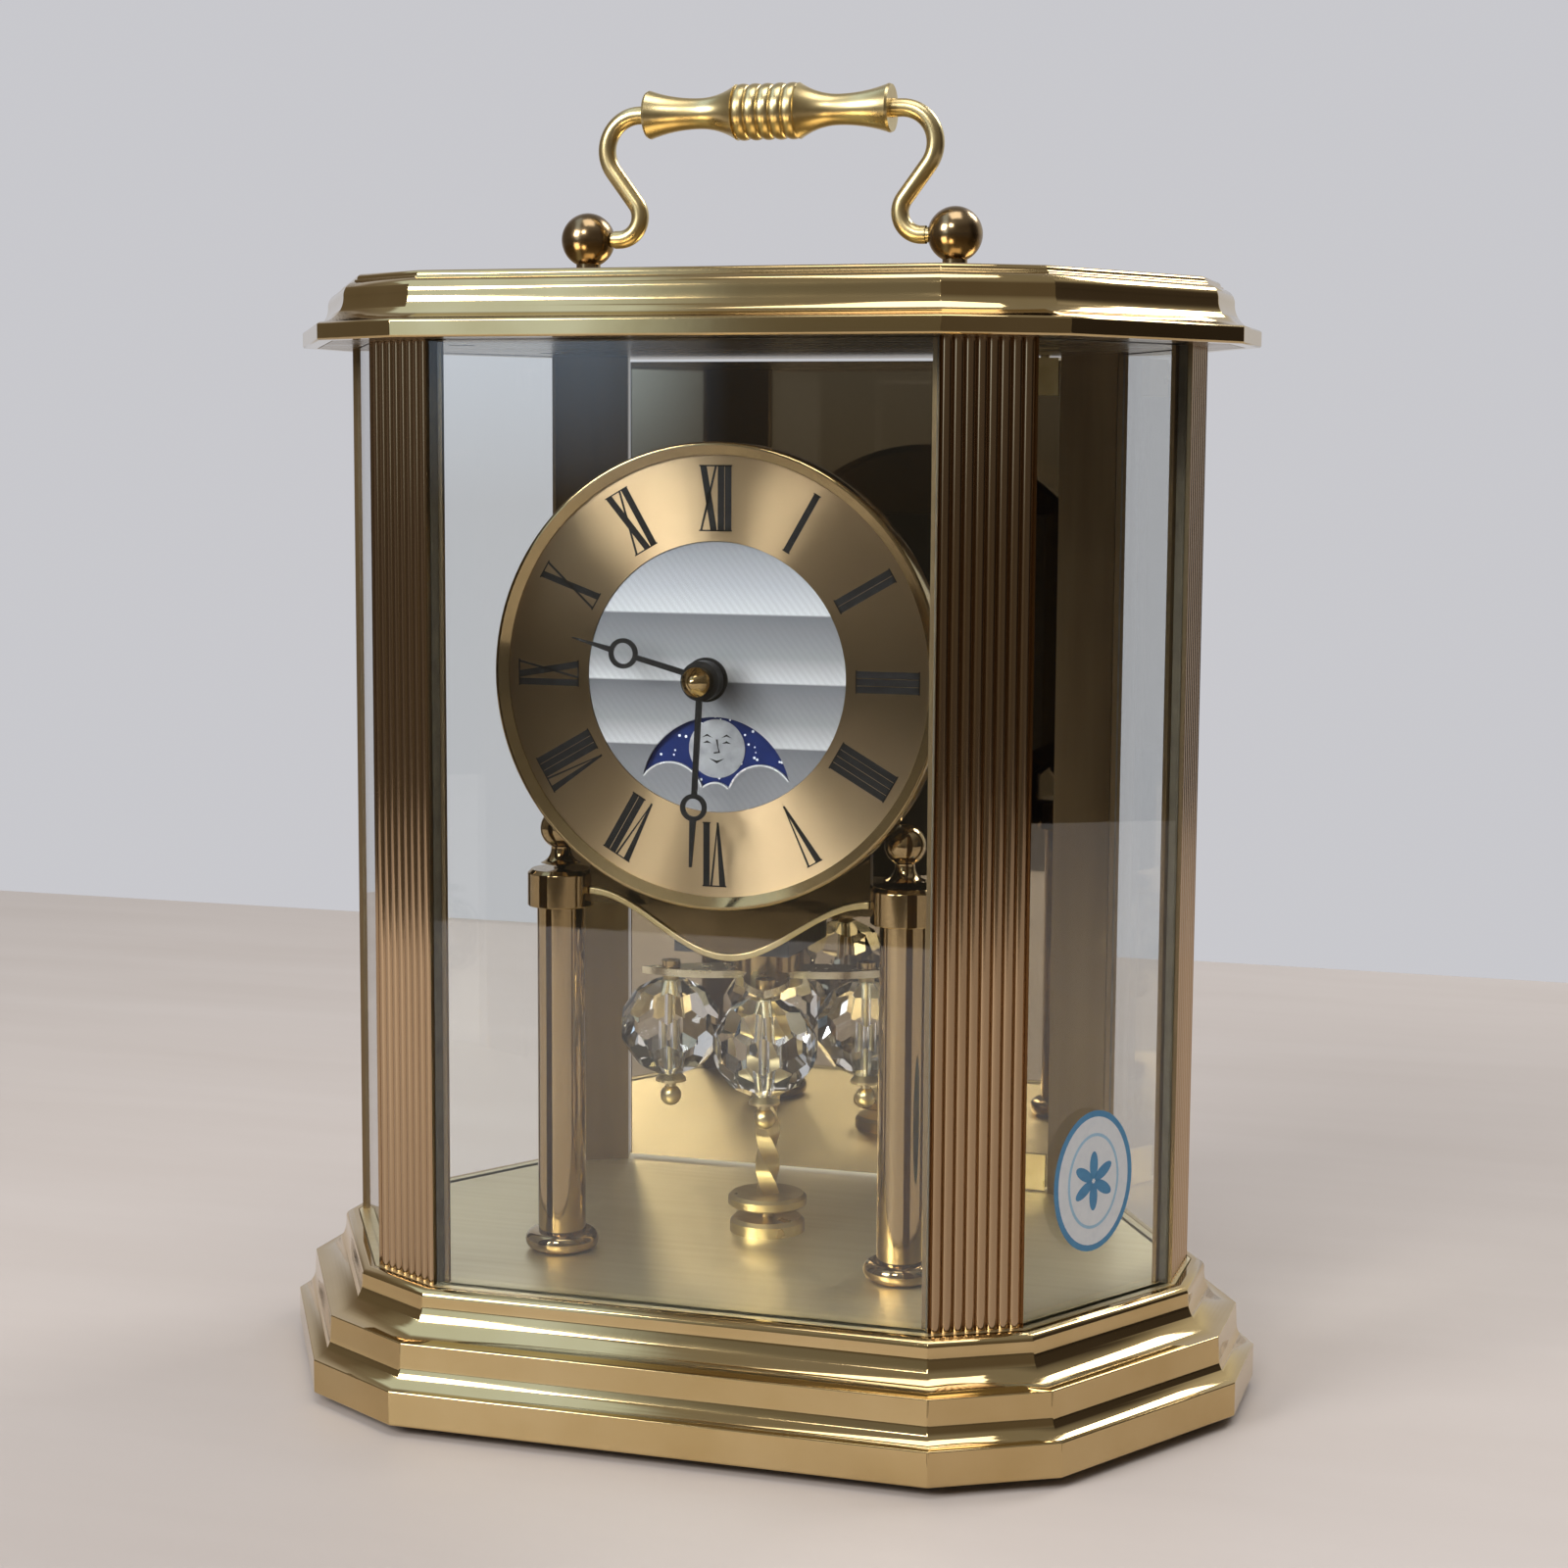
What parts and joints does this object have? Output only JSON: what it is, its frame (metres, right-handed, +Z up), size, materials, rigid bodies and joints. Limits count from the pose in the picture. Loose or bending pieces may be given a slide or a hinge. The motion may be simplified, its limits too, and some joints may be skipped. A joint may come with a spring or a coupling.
{
  "type": "crystal mantel clock",
  "caption": "Glass-sided brass mantel clock with a swinging handle, a moon-phase dial and a turning pendulum of faceted crystal balls.",
  "frame": {"origin": "middle of the underside of the feet", "axes": "+Z up, -Y towards the front where the dial looks, +X to the right seen from the front"},
  "size_m": [0.2024, 0.139, 0.2625],
  "materials": {
    "polished_brass": "polished and lacquered",
    "dark_brass": "antique, dull polish",
    "satin_brass": "satin, finely brushed",
    "silvered": "silvered, finely brushed",
    "glass": "clear, polished",
    "crystal": "clear, cut in facets",
    "mirror": "tinted mirror",
    "steel": "plain turned",
    "black_plastic": "fine matt",
    "black_lacquer": "semi-gloss black",
    "felt": "felt",
    "cover_paint": "matt dark brown",
    "battery_sleeve": "plain printed sleeve",
    "board_green": "lacquered board",
    "copper_wire": "enamelled winding",
    "moon_blue": "gloss enamel"
  },
  "bodies": {
    "case": {"base_moulding": "polished_brass", "deck_plate": "satin_brass", "bottom_cover": "cover_paint", "felt_feet": "felt", "base_pillars": "dark_brass", "base_screws": "steel", "post_screws": "steel", "post_front_left": "polished_brass", "post_front_right": "polished_brass", "post_side_left": "polished_brass", "post_side_right": "polished_brass", "post_rear_left": "polished_brass", "post_rear_right": "polished_brass", "glass_front": "glass", "glass_front_left": "glass", "glass_front_right": "glass", "glass_rear_left": "glass", "glass_rear_right": "glass", "lid_moulding": "polished_brass", "lid_plate": "dark_brass", "lid_screws": "steel", "handle_posts": "dark_brass", "handle_nuts": "steel", "column_tubes": "polished_brass", "column_rings": "polished_brass", "column_caps": "polished_brass", "column_finials": "polished_brass", "column_screws": "steel", "yoke_plate": "polished_brass", "dial_bezel": "polished_brass", "dial_ring": "satin_brass", "dial_centre": "silvered", "dial_back": "dark_brass", "movement_shell": "black_plastic", "movement_cover": "black_plastic", "battery": "battery_sleeve", "battery_contacts": "steel", "circuit_board": "board_green", "motor_coil": "copper_wire", "pendulum_drive": "black_plastic", "guide_disc": "polished_brass"},
    "handle": {"handle_arm_left": "dark_brass", "handle_arm_right": "dark_brass", "handle_grip": "dark_brass"},
    "minute_side": {"minute_hand": "black_lacquer", "hand_nut": "polished_brass", "cannon_pinion": "polished_brass"},
    "hour_side": {"hour_hand": "black_lacquer", "hour_wheel": "polished_brass"},
    "moon": {"moon_disc": "moon_blue"},
    "setting": {"motion_wheel": "polished_brass"},
    "pendulum": {"pendulum_hub": "dark_brass", "pendulum_arms": "satin_brass", "crystal_balls": "crystal", "crystal_pins": "polished_brass", "stud_nuts": "polished_brass", "twisted_rod": "polished_brass", "rod_disc": "polished_brass"},
    "rear_door": {"door_panel": "mirror", "door_fittings": "polished_brass"}
  },
  "joints": [
    {"name": "handle_swing", "type": "hinge", "parent": "case", "child": "handle", "pos_m": [0, 0, 0.2321], "axis": [1, 0, 0], "range_deg": [-97, 97]},
    {"name": "minute_turn", "type": "hinge", "parent": "case", "child": "minute_side", "pos_m": [0, 0, 0.1457], "axis": [0, 1, 0], "continuous": true},
    {"name": "hour_turn", "type": "hinge", "parent": "case", "child": "hour_side", "pos_m": [0, 0, 0.1457], "axis": [0, 1, 0], "continuous": true},
    {"name": "moon_turn", "type": "hinge", "parent": "case", "child": "moon", "pos_m": [0, 0, 0.1226], "axis": [0, 1, 0], "continuous": true},
    {"name": "setting_turn", "type": "hinge", "parent": "case", "child": "setting", "pos_m": [0, 0, 0.1577], "axis": [0, 1, 0], "continuous": true},
    {"name": "pendulum_turn", "type": "hinge", "parent": "case", "child": "pendulum", "pos_m": [0, 0.004, 0.07], "axis": [0, 0, 1], "range_deg": [-135, 135]},
    {"name": "rear_door_turn", "type": "hinge", "parent": "case", "child": "rear_door", "pos_m": [0.04458, 0.0537, 0.118], "axis": [0, 0, -1], "range_deg": [0, 110]}
  ],
  "couplings": [
    {"joint": "hour_turn", "follows": "minute_turn", "ratio": 0.083333},
    {"joint": "moon_turn", "follows": "minute_turn", "ratio": 0.00070621},
    {"joint": "setting_turn", "follows": "minute_turn", "ratio": -0.33333}
  ]
}
